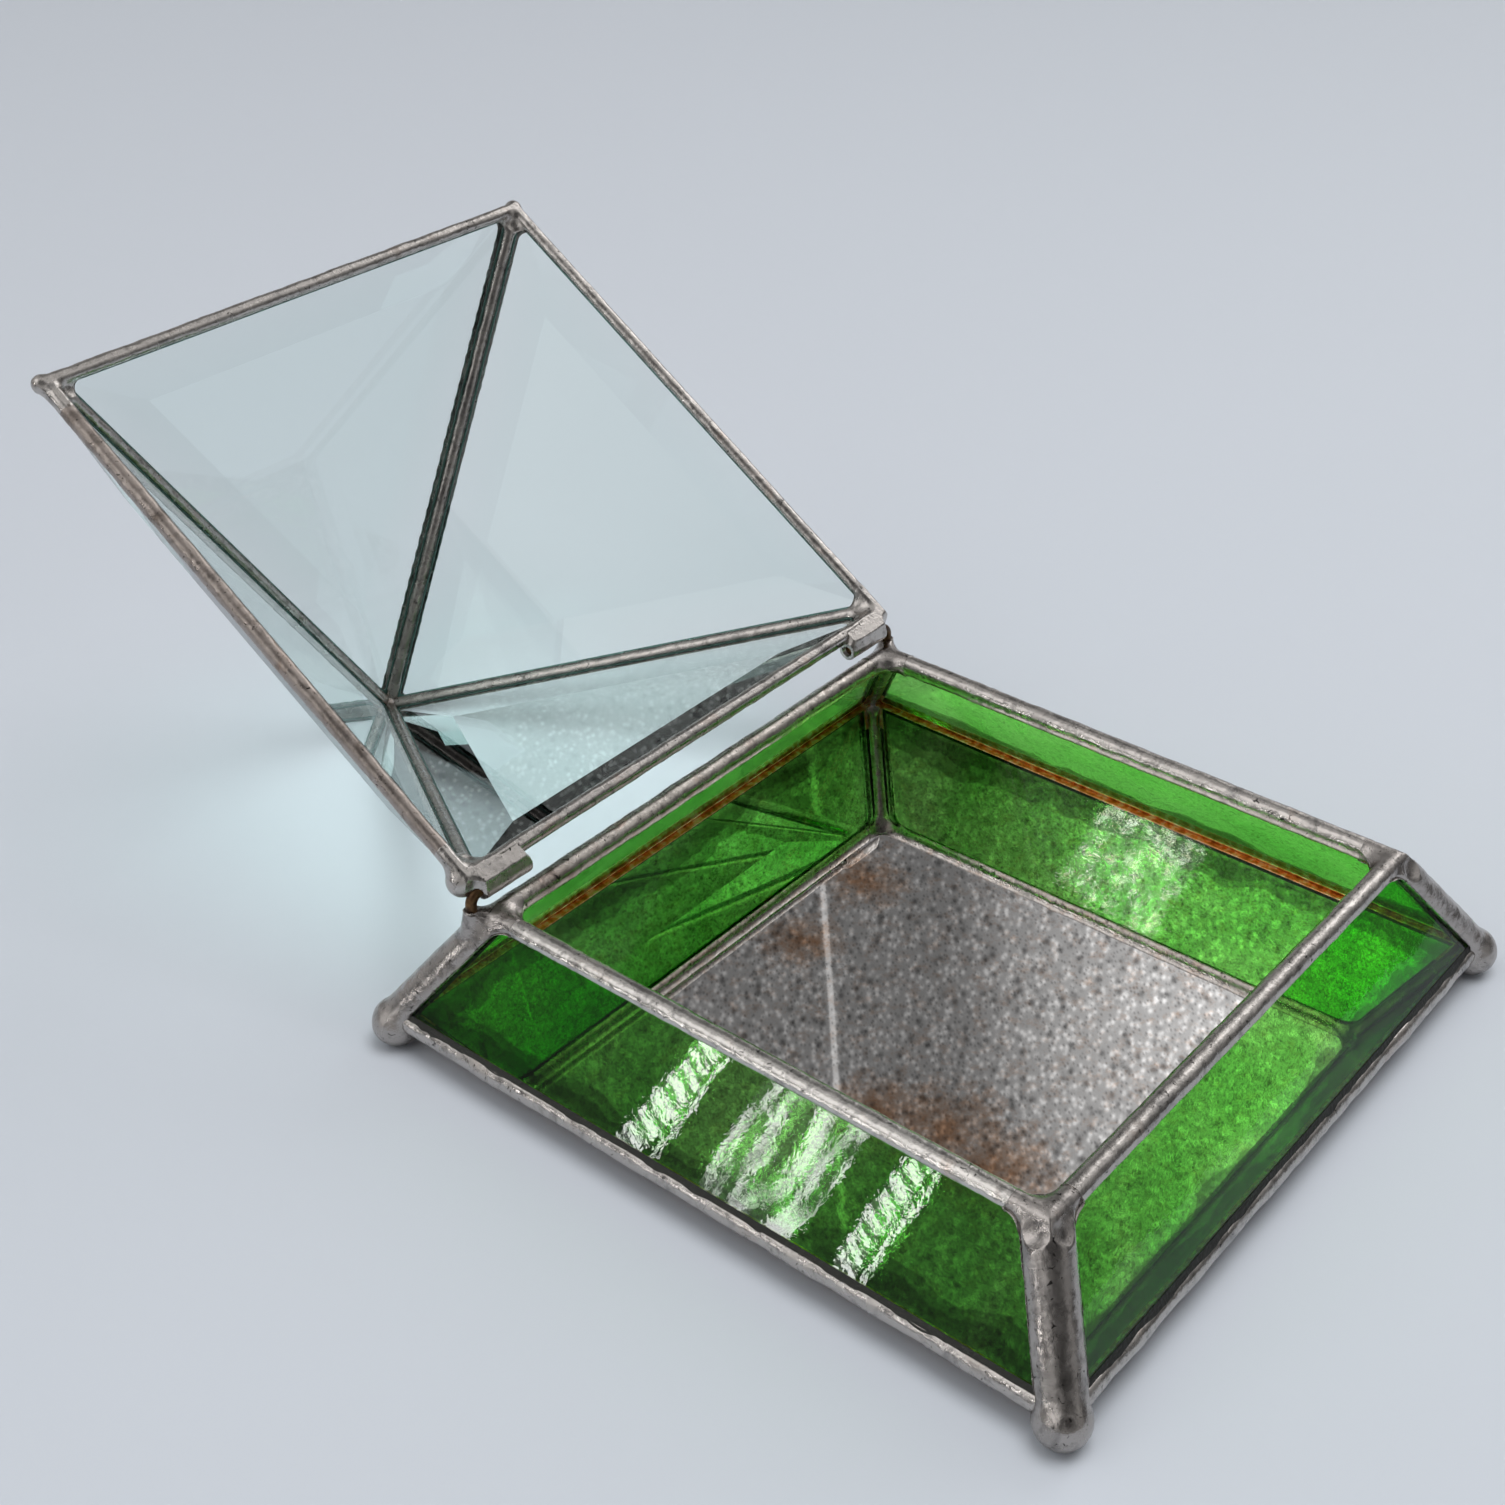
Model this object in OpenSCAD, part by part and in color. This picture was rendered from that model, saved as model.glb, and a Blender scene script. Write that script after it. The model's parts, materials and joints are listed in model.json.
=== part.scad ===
// Glass casket: a sloped green-glass base with a mirror floor, and a
// pyramid lid of four bevelled triangles, joined in foil and solder.
// Z is up. Front is -Y, the hinge is at the back on +Y, and the lid stands
// open. The pieces are drawn about the middle of the mirror floor's underside,
// and the whole is then set with its feet on z = 0 and the origin in the
// middle of the room that the open box takes up.

/* [Base] */
// Width across the outer edges of the wall panels at the mouth
mouth_w = 124; // [110:1:150]
// Height of a wall panel, measured up its slope
wall_h = 26; // [18:0.5:40]
// Lean of the walls from upright
wall_tilt = 33.5; // [25:0.5:42]
// Thickness of the wall glass
wall_t = 3.2; // [2.6:0.1:4]
// Gap from the line where two walls meet to the edge of each panel
wall_gap = 0.7; // [0.4:0.1:1]
// Thickness of the mirror floor
floor_t = 3; // [2:0.1:5]
// Diameter of a ball foot
foot_d = 9.6; // [8.6:0.2:12]
// How far the feet stand below the mirror floor
foot_drop = 2.5; // [1.5:0.1:3]

/* [Lid] */
// How much wider a lid triangle is than the mouth
lid_reach = 1; // [0:0.5:4]
// Height of a lid triangle, measured up its slope
lid_glass_h = 99.5; // [88:0.5:125]
// Thickness of a lid triangle at its bevelled edge
lid_edge_t = 2; // [1.6:0.1:2.4]
// Thickness of a lid triangle inside the bevel
lid_body_t = 4.8; // [4:0.1:6]
// Width of the bevel
bevel_w = 12; // [8:0.5:16]
// Gap from the line where two lid panels meet to the edge of each
lid_gap = 0.4; // [0.3:0.05:0.7]
// Radius of the solder ball on the point of the lid
apex_r = 4; // [3.4:0.1:5]

/* [Foil and solder] */
// Width of the copper foil tape
foil_w = 6.4; // [5.8:0.1:6.8]
// Thickness of the foil with its tinning
foil_t = 0.1; // [0.06:0.02:0.14]
// Solder over the foil on the rims of the base
rim_solder = 0.5; // [0.4:0.05:0.8]
// Solder over the foil on the rim of the lid
lid_rim_solder = 0.5; // [0.4:0.05:0.8]
// Height of the corner seams over the sharp corner of the walls
corner_build = 0.3; // [0.1:0.05:0.8]
// Height of the ridge seams over the sharp corner of the lid
ridge_build = 0.2; // [0.1:0.05:0.6]
// Radius of the bead inside each corner of the base
inner_bead_r = 1.7; // [1.4:0.1:2]
// Radius of the bead inside each ridge of the lid
ridge_bead_r = 1.5; // [1.2:0.1:1.8]

/* [Hinge] */
// Outer diameter of a hinge tube
tube_d = 4; // [3.8:0.1:4.6]
// Length of a hinge tube
tube_len = 12; // [8:0.5:20]
// Diameter of the pin wire
pin_d = 2.2; // [2:0.1:2.4]
// Radial play of the pin in its tube
pin_play = 0.06; // [0.04:0.01:0.1]
// Bend radius of the pin, on its centre line
bend_r = 2; // [1.8:0.1:2.4]
// Space between the closed lid and the rim it comes down on
seat_gap = 0.3; // [0.2:0.05:0.5]

/* [Hidden] */
$fn = 48;
SIDES = ["front", "right", "back", "left"];
CORNERS = ["front_right", "back_right", "back_left", "front_left"];
BIG = 400;

// Foil
foil_lap = (foil_w - wall_t) / 2;
lid_lap = (foil_w - lid_edge_t) / 2 - 0.5;
lap_solder = 0.35;

// Walls
mouth_half = mouth_w / 2;
base_half = mouth_half + wall_h * sin(wall_tilt);
side_lean = atan(sin(wall_tilt));
wall_turn = acos(pow(sin(wall_tilt), 2)) / 2;
edge_back = (wall_t * tan(wall_turn) + wall_gap) / cos(side_lean);
solder_film = 0.05;
wall_lift = floor_t + solder_film + foil_t * (1 + sin(wall_tilt) + cos(wall_tilt));
wall_foot_z = wall_lift + wall_t * sin(wall_tilt);
wall_top_z = wall_foot_z + wall_h * cos(wall_tilt);
floor_half = base_half - wall_t * cos(wall_tilt) + foil_t;

// Corner seams of the base, drawn in the upright plane through a corner.
// The inner line is where the inner faces of two walls meet.
corner_slope = atan(sqrt(2) * tan(wall_tilt));
corner_span = wall_gap + foil_lap + lap_solder;
corner_chord = wall_t * sin(wall_turn) + corner_span * cos(wall_turn);
corner_chord_up = wall_t * cos(wall_turn) - corner_span * sin(wall_turn);
corner_crown = wall_t / cos(wall_turn) + corner_build;
corner_rise = corner_crown - corner_chord_up;
corner_r = (pow(corner_chord, 2) + pow(corner_rise, 2)) / (2 * corner_rise);
corner_axis_up = corner_crown - corner_r;
corner_run = wall_h * cos(wall_tilt) / cos(corner_slope);
corner_slack = 6;
inner_bead_down = 0.4;

// Rim of the base
rim_half_t = wall_t / 2 + foil_t;
rim_r = rim_half_t + rim_solder;
rim_sink = foil_lap + lap_solder - sqrt(pow(rim_r, 2) - pow(rim_half_t, 2));
rim_axis_z = wall_top_z - rim_sink * cos(wall_tilt) - wall_t / 2 * sin(wall_tilt);
rim_top_z = rim_axis_z + rim_r;

// Floor seam: an arc over the foil of the wall and of the floor
seam_a = [base_half - foil_lap * sin(wall_tilt) + foil_t, wall_foot_z + foil_lap * cos(wall_tilt)];
seam_b = [floor_half - foil_lap, -foil_t];
seam_sink = 0.3;
seam_run = (seam_a - seam_b) / norm(seam_a - seam_b);
seam_axis = (seam_a + seam_b) / 2 + seam_sink * [-seam_run[1], seam_run[0]];
seam_r = norm(seam_a - seam_axis);
seam_skew = 0.4;

// Feet
foot_r = foot_d / 2;
foot_flat = 0.25;
foot_q = base_half - 1.5;
foot_z = foot_r - foot_flat - foot_drop;
corner_foot_z = wall_foot_z - 0.3;
seam_end = foot_q - 0.2;

// Lid, drawn closed with its own origin in the middle of its mouth
lid_glass_w = mouth_w + lid_reach;
lid_side = atan(2 * lid_glass_h / lid_glass_w);
lid_half = lid_glass_w / 2 + lid_gap / sin(lid_side);
lid_run = (lid_glass_w / 2 * sin(lid_side) + lid_gap) / cos(lid_side);
lid_slope = acos(lid_half / lid_run);
lid_peak = sqrt(pow(lid_run, 2) - pow(lid_half, 2));
lid_turn = acos(pow(cos(lid_slope), 2)) / 2;
window_lift = 0.3;
window_tip = 0.4;
nipped_tip = 1;
corner_nip = 0.3;
bevel_slope = atan((lid_body_t - lid_edge_t) / bevel_w);
ridge_slope = atan(lid_peak / (sqrt(2) * lid_half));
ridge_lap = lid_lap + lap_solder;
ridge_chord = lid_gap * cos(lid_turn) + lid_edge_t * sin(lid_turn)
    + ridge_lap * cos(lid_turn - bevel_slope);
ridge_chord_up = lid_edge_t * cos(lid_turn) - lid_gap * sin(lid_turn)
    - ridge_lap * sin(lid_turn - bevel_slope);
ridge_crown = lid_edge_t / cos(lid_turn) + ridge_build;
ridge_rise = ridge_crown - ridge_chord_up;
ridge_r = (pow(ridge_chord, 2) + pow(ridge_rise, 2)) / (2 * ridge_rise);
ridge_axis_up = ridge_crown - ridge_r;
ridge_run = lid_peak / sin(ridge_slope) + 2 * ridge_r;
ridge_slack = 6;
ridge_foot_up = 1;
ridge_bead_down = 0.3;
lid_rim_half_t = lid_edge_t / 2 + foil_t;
lid_rim_r = lid_rim_half_t + lid_rim_solder;
lid_rim_sink = lid_lap + lap_solder - sqrt(pow(lid_rim_r, 2) - pow(lid_rim_half_t, 2));
lid_rim_y = lid_half - lid_rim_sink * cos(lid_slope) + lid_edge_t / 2 * sin(lid_slope);
lid_rim_z = lid_rim_sink * sin(lid_slope) + lid_edge_t / 2 * cos(lid_slope);
lid_drop = lid_rim_r - lid_rim_z;
lid_z = rim_top_z + seat_gap + lid_drop;
apex_out = 1.2;

// Hinge
tube_r = tube_d / 2;
pin_r = pin_d / 2;
bore_r = pin_r + pin_play;
hinge_out = tube_r + 1;
hinge_up = tube_r - 0.6;
hinge_lid_y = lid_rim_y + hinge_out;
hinge_lid_z = lid_rim_z + hinge_up;
hinge_y = mouth_half + 1.2;
hinge_z = lid_z + hinge_lid_z;
leg_x = mouth_half + 2;
pin_gap = 0.4;
pin_inset = 1;
tube_end = leg_x - bend_r - pin_gap;
leg_foot_z = wall_top_z - 3.4;
leg_solder_top = wall_top_z + 1.1;
leg_solder_r = pin_r + 1.1;
leg_solder_tip = pin_r + 0.4;
hinge_solder_r = tube_r + 0.6;
fillet_trim = 0.25;

// The open lid leans back until its point is just over the table
table_gap = 0.1;
apex_rise = lid_peak + apex_out - hinge_lid_z;
apex_arm = norm([hinge_lid_y, apex_rise]);
lid_open = 180 - atan2(apex_rise, hinge_lid_y)
    + asin((hinge_z + foot_drop - apex_r - table_gap) / apex_arm);

// Middle of the room that the open box takes up
front_reach = foot_q + foot_r;
back_reach = hinge_y + lid_rim_r - (lid_rim_y + hinge_lid_y) * cos(lid_open)
    + (lid_rim_z - hinge_lid_z) * sin(lid_open);
middle_y = (back_reach - front_reach) / 2;

// ---- Placing ----

module stand() {
    translate([0, -middle_y, foot_drop])
        children();
}

// Local X runs along the panel, Y up its slope and Z out of the box
module at_wall(k) {
    rotate([0, 0, 90 * k])
        translate([0, -base_half, wall_foot_z])
            rotate([90 - wall_tilt, 0, 0])
                children();
}

// Local X points out to a corner of the box
module at_corner(c) {
    rotate([0, 0, 90 * c - 45])
        children();
}

module open_lid() {
    translate([0, hinge_y, hinge_z])
        rotate([-lid_open, 0, 0])
            translate([0, -hinge_lid_y, -hinge_lid_z])
                children();
}

module at_lid(k) {
    rotate([0, 0, 90 * k])
        translate([0, -lid_half, 0])
            rotate([lid_slope, 0, 0])
                children();
}

// The quarter of the plan that belongs to one side
module side_wedge(k, skew = 0) {
    rotate([0, 0, 90 * k + skew])
        translate([0, 0, -BIG / 2])
            linear_extrude(BIG)
                polygon([[0, 0], [-BIG, -BIG], [BIG, -BIG]]);
}

// A straight bar along X
module bar_x(r, length) {
    translate([-length / 2, 0, 0])
        rotate([0, 90, 0])
            cylinder(h = length, r = r);
}

// ---- Base: glass and foil ----

// Outline of a wall panel, grown by g on every edge
function wall_outline(g) =
    let (foot = base_half - edge_back + g / cos(side_lean),
         low = foot + g * tan(side_lean),
         high = foot - (wall_h + g) * tan(side_lean))
    [[-low, -g], [low, -g], [high, wall_h + g], [-high, wall_h + g]];

module wall_blank(g) {
    translate([0, 0, -wall_t - g])
        linear_extrude(wall_t + 2 * g)
            polygon(wall_outline(g));
}

module wall_glass(k) {
    color("forestgreen")
        at_wall(k)
            wall_blank(0);
}

module wall_foil(k) {
    color("peru")
        at_wall(k)
            difference() {
                wall_blank(foil_t);
                wall_blank(0);
                translate([0, 0, -wall_t * 2])
                    linear_extrude(wall_t * 3)
                        polygon(wall_outline(-foil_lap));
            }
}

module floor_blank(g) {
    translate([-floor_half - g, -floor_half - g, -g])
        cube([2 * (floor_half + g), 2 * (floor_half + g), floor_t + 2 * g]);
}

module mirror_floor() {
    color("lightsteelblue")
        floor_blank(0);
}

module floor_foil() {
    window = 2 * (floor_half - foil_lap);
    color("peru")
        difference() {
            floor_blank(foil_t);
            floor_blank(0);
            translate([-window / 2, -window / 2, -floor_t])
                cube([window, window, 3 * floor_t]);
        }
}

// ---- Base: solder ----

// Lays a profile along a corner of the box. In the profile, X is across
// the corner, Y points out of the box, and 0 is where the inner faces meet.
module along_corner(c) {
    inner_x = sqrt(2) * (base_half - wall_t * cos(wall_tilt));
    at_corner(c)
        translate([inner_x, 0, wall_lift])
            rotate([0, -corner_slope, 0])
                rotate([0, 0, -90])
                    translate([0, 0, -corner_slack])
                        linear_extrude(corner_run + 2 * corner_slack)
                            children();
}

// Two walls and their foil, cut across a corner
module wall_ends() {
    for (side = [-1, 1])
        mirror([side < 0 ? 1 : 0, 0])
            rotate(-wall_turn)
                translate([wall_gap - foil_t, -foil_t])
                    square([BIG, wall_t + 2 * foil_t]);
}

module corner_profile() {
    difference() {
        union() {
            intersection() {
                translate([0, corner_axis_up])
                    circle(r = corner_r);
                translate([-BIG / 2, 0])
                    square([BIG, BIG]);
            }
            translate([0, -inner_bead_down])
                circle(r = inner_bead_r);
        }
        wall_ends();
    }
}

module corner_seam(c) {
    color("silver")
        difference() {
            along_corner(c)
                corner_profile();
            translate([-BIG / 2, -BIG / 2, rim_axis_z])
                cube([BIG, BIG, BIG]);
            translate([-BIG / 2, -BIG / 2, corner_foot_z - BIG])
                cube([BIG, BIG, BIG]);
            for (k = [c, c + 1]) {
                mouth_bar(k);
                floor_bar(k);
            }
            floor_blank(foil_t);
            foot_ball(c);
            if (c == 1 || c == 2)
                leg_cone(c == 1 ? 1 : -1);
        }
}

module mouth_bar(k) {
    at_wall(k)
        translate([0, wall_h - rim_sink, -wall_t / 2])
            bar_x(rim_r, BIG);
}

module mouth_rim(k) {
    color("gainsboro")
        difference() {
            intersection() {
                mouth_bar(k);
                side_wedge(k);
            }
            at_wall(k)
                wall_blank(foil_t);
            if (k == 1 || k == 2)
                leg_cone(1);
            if (k == 2 || k == 3)
                leg_cone(-1);
        }
}

// The bar of solder along a wall's foot, outside the wall and below it
module floor_bar(k) {
    difference() {
        rotate([0, 0, 90 * k])
            translate([0, -seam_axis[0], seam_axis[1]])
                bar_x(seam_r, BIG);
        at_wall(k)
            translate([-BIG / 2, -foil_t / 2, foil_t / 2 - BIG])
                cube([BIG, BIG, BIG]);
    }
}

// What lies inside a wall and above the floor, from the middle of the glass
module room_side(k) {
    intersection() {
        at_wall(k)
            translate([-BIG / 2, -BIG / 2, -BIG - wall_t / 2])
                cube([BIG, BIG, BIG]);
        translate([-BIG / 2, -BIG / 2, floor_t / 2])
            cube([BIG, BIG, BIG]);
    }
}

module floor_seam(k) {
    color("gainsboro")
        difference() {
            intersection() {
                floor_bar(k);
                side_wedge(k, seam_skew);
                rotate([0, 0, 90 * k])
                    translate([-seam_end, -BIG, -BIG / 2])
                        cube([2 * seam_end, BIG, BIG]);
            }
            at_wall(k)
                wall_blank(foil_t);
            floor_blank(foil_t);
            room_side(k);
            foot_ball((k + 3) % 4);
            foot_ball(k);
        }
}

module foot_ball(c) {
    at_corner(c)
        translate([sqrt(2) * foot_q, 0, foot_z])
            sphere(r = foot_r);
}

module ball_foot(c) {
    color("silver")
        difference() {
            foot_ball(c);
            translate([-BIG / 2, -BIG / 2, -foot_drop - BIG])
                cube([BIG, BIG, BIG]);
            floor_blank(foil_t);
            at_wall(c)
                wall_blank(foil_t);
            at_wall(c + 1)
                wall_blank(foil_t);
            intersection() {
                room_side(c);
                room_side(c + 1);
            }
        }
}

// ---- Hinge ----

// Wire bent like an L: through the tube, round the bend and down
module hinge_pin_solid(side) {
    inner_x = tube_end - tube_len + pin_inset;
    bend_x = leg_x - bend_r;
    mirror([side < 0 ? 1 : 0, 0, 0])
        translate([0, hinge_y, hinge_z]) {
            translate([inner_x, 0, 0])
                rotate([0, 90, 0])
                    cylinder(h = bend_x - inner_x, r = pin_r);
            translate([bend_x, 0, -bend_r])
                rotate([90, 0, 0])
                    rotate_extrude(angle = 90)
                        translate([bend_r, 0])
                            circle(r = pin_r);
            translate([leg_x, 0, leg_foot_z - hinge_z])
                cylinder(h = hinge_z - bend_r - leg_foot_z, r = pin_r);
        }
}

module hinge_pin(side) {
    color("darkgoldenrod")
        hinge_pin_solid(side);
}

// The cone of solder that holds the leg of a pin on the corner of the rim
module leg_cone(side) {
    translate([side * leg_x, hinge_y, leg_foot_z])
        cylinder(h = leg_solder_top - leg_foot_z, r1 = leg_solder_r, r2 = leg_solder_tip);
}

module pin_solder(side) {
    color("silver")
        difference() {
            leg_cone(side);
            translate([side * leg_x, hinge_y, leg_foot_z - pin_r])
                cylinder(h = hinge_z - leg_foot_z, r = pin_r);
        }
}

// Outside of a hinge tube, in the closed lid's own place
module tube_body(side, r) {
    start = side > 0 ? tube_end - tube_len : -tube_end;
    translate([start, hinge_lid_y, hinge_lid_z])
        rotate([0, 90, 0])
            cylinder(h = tube_len, r = r);
}

module hinge_tube(side) {
    color("darkkhaki")
        open_lid()
            difference() {
                tube_body(side, tube_r);
                translate([0, hinge_lid_y, hinge_lid_z])
                    bar_x(bore_r, BIG);
            }
}

// Solder that holds a tube in the angle between the rim and the corner
module hinge_fillet(side) {
    length = tube_len - pin_inset - fillet_trim;
    start = side > 0 ? tube_end - tube_len + pin_inset : fillet_trim - tube_end;
    translate([start, lid_rim_y + hinge_out / 2, lid_rim_z + hinge_up / 2])
        rotate([0, 90, 0])
            cylinder(h = length, r = hinge_solder_r);
}

module hinge_solder(side) {
    color("silver")
        open_lid()
            difference() {
                hinge_fillet(side);
                tube_body(side, tube_r);
                lid_panel_blanks(foil_t);
            }
}

// ---- Lid: glass and foil ----

// Outline of a lid triangle with its point nipped off, grown by g
function lid_outline(g) =
    let (half = lid_glass_w / 2,
         low = half + g * (1 + cos(lid_side)) / sin(lid_side),
         high = (half - nipped_tip) * tan(lid_side) + g,
         tip = nipped_tip + g / sin(lid_side) - g / tan(lid_side))
    [[-low, -g], [low, -g], [tip, high], [-tip, high]];

// An outline with each of its corners cut off, by the same length on both edges
function nipped(points) =
    let (n = len(points))
    [for (i = [0:n - 1], side = [n - 1, 1])
        let (p = points[i], q = points[(i + side) % n])
        p + corner_nip * (q - p) / norm(q - p)];

// The part of a lid triangle that the foil leaves clear
function lid_window() =
    let (half = lid_glass_w / 2 - lid_lap / sin(lid_side),
         foot = lid_lap + window_lift,
         low = half - foot / tan(lid_side),
         high = (half - window_tip) * tan(lid_side))
    [[-low, foot], [low, foot], [window_tip, high], [-window_tip, high]];

module lid_blank(g) {
    corners = lid_outline(g);
    edge_t = lid_edge_t + g / cos(bevel_slope) - g * tan(bevel_slope);
    difference() {
        translate([0, 0, -g])
            linear_extrude(lid_body_t + 2 * g)
                polygon(nipped(corners));
        for (i = [0, 1, 3]) {
            edge = corners[(i + 1) % 4] - corners[i];
            translate([corners[i][0], corners[i][1], edge_t])
                rotate([0, 0, atan2(edge[1], edge[0])])
                    rotate([bevel_slope, 0, 0])
                        translate([-BIG / 2, -BIG / 2, 0])
                            cube([BIG, BIG, BIG]);
        }
    }
}

module lid_panel_blanks(g) {
    for (k = [0:3])
        at_lid(k)
            lid_blank(g);
}

module lid_glass(k) {
    color("azure", 0.5)
        open_lid()
            at_lid(k)
                lid_blank(0);
}

module lid_foil(k) {
    color("peru")
        open_lid()
            at_lid(k)
                difference() {
                    lid_blank(foil_t);
                    lid_blank(0);
                    translate([0, 0, -lid_body_t])
                        linear_extrude(3 * lid_body_t)
                            polygon(lid_window());
                }
}

// ---- Lid: solder ----

// Lays a profile along a ridge of the lid, set out as along_corner is
module along_ridge(c) {
    intersection() {
        at_corner(c)
            translate([sqrt(2) * lid_half, 0, 0])
                rotate([0, ridge_slope - 90, 0])
                    rotate([0, 0, -90])
                        translate([0, 0, -ridge_slack])
                            linear_extrude(ridge_run + ridge_slack)
                                children();
        at_corner(c)
            translate([0, 0, -BIG / 2])
                linear_extrude(BIG)
                    polygon([[0, 0], [BIG, -BIG], [BIG, BIG]]);
    }
}

// Two bevelled panels and their foil, cut across a ridge
module lid_ends() {
    thick = lid_edge_t + foil_t / cos(bevel_slope);
    for (side = [-1, 1])
        mirror([side < 0 ? 1 : 0, 0])
            rotate(-lid_turn)
                translate([lid_gap, 0])
                    polygon([
                        [-foil_t, -foil_t],
                        [bevel_w, -foil_t],
                        [bevel_w, thick + bevel_w * tan(bevel_slope)],
                        [-foil_t, thick - foil_t * tan(bevel_slope)]
                    ]);
}

module ridge_profile() {
    difference() {
        union() {
            intersection() {
                translate([0, ridge_axis_up])
                    circle(r = ridge_r);
                translate([-BIG / 2, 0])
                    square([BIG, BIG]);
            }
            translate([0, -ridge_bead_down])
                circle(r = ridge_bead_r);
        }
        lid_ends();
    }
}

module apex_ball() {
    translate([0, 0, lid_peak + apex_out])
        sphere(r = apex_r);
}

module ridge_seam(c) {
    color("silver")
        open_lid()
            difference() {
                along_ridge(c)
                    ridge_profile();
                translate([-BIG / 2, -BIG / 2, lid_rim_z + ridge_foot_up - BIG])
                    cube([BIG, BIG, BIG]);
                lid_bar(c);
                lid_bar(c + 1);
                apex_ball();
                if (c == 1 || c == 2)
                    hinge_space(c == 1 ? 1 : -1);
            }
}

// What the hinge takes out of the solder round it: the tube's own room,
// carried on past the bend of the pin, and the solder of the tube
module hinge_space(side) {
    start = side > 0 ? tube_end - tube_len : -tube_end + tube_len - BIG;
    translate([start, hinge_lid_y, hinge_lid_z])
        rotate([0, 90, 0])
            cylinder(h = BIG, r = tube_r);
    hinge_fillet(side);
}

module lid_bar(k) {
    at_lid(k)
        translate([0, lid_rim_sink, lid_edge_t / 2])
            bar_x(lid_rim_r, BIG);
}

module lid_rim(k) {
    color("gainsboro")
        open_lid()
            difference() {
                intersection() {
                    lid_bar(k);
                    side_wedge(k);
                }
                at_lid(k)
                    lid_blank(foil_t);
                if (k == 1 || k == 2)
                    hinge_space(1);
                if (k == 2 || k == 3)
                    hinge_space(-1);
            }
}

module apex_solder() {
    color("silver")
        open_lid()
            difference() {
                apex_ball();
                lid_panel_blanks(foil_t);
            }
}

// ---- The whole box ----

for (k = [0:3]) {
    stand() wall_glass(k);
    stand() wall_foil(k);
    stand() mouth_rim(k);
    stand() floor_seam(k);
    stand() corner_seam(k);
    stand() ball_foot(k);
    stand() lid_glass(k);
    stand() lid_foil(k);
    stand() lid_rim(k);
    stand() ridge_seam(k);
}
stand() mirror_floor();
stand() floor_foil();
stand() hinge_pin(-1);  // hinge_pin_left
stand() hinge_pin(1);  // hinge_pin_right
stand() pin_solder(-1);  // pin_solder_left
stand() pin_solder(1);  // pin_solder_right
stand() hinge_tube(-1);  // hinge_tube_left
stand() hinge_tube(1);  // hinge_tube_right
stand() hinge_solder(-1);  // hinge_solder_left
stand() hinge_solder(1);  // hinge_solder_right
stand() apex_solder();
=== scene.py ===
import json
import math

import bmesh
import bpy
from mathutils import Matrix, Vector, noise


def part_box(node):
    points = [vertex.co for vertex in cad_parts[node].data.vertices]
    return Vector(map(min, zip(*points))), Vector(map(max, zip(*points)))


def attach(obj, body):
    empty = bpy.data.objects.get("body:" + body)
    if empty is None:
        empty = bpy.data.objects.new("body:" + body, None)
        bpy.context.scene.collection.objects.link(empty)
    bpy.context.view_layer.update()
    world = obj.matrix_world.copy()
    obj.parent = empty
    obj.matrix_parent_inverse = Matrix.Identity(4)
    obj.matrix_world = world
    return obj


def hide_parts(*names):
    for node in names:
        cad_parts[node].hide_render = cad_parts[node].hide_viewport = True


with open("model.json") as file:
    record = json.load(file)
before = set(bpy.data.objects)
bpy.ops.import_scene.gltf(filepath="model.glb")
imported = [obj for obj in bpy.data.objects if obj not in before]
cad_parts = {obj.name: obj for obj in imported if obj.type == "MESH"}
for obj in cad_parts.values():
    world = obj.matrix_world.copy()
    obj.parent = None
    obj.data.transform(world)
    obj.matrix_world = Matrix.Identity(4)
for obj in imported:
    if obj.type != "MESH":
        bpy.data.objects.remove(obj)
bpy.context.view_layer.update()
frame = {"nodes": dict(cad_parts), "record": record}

SIDES = ("front", "right", "back", "left")
CORNERS = ("front_right", "back_right", "back_left", "front_left")
MM = 0.001


# ---- Materials ----

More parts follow.
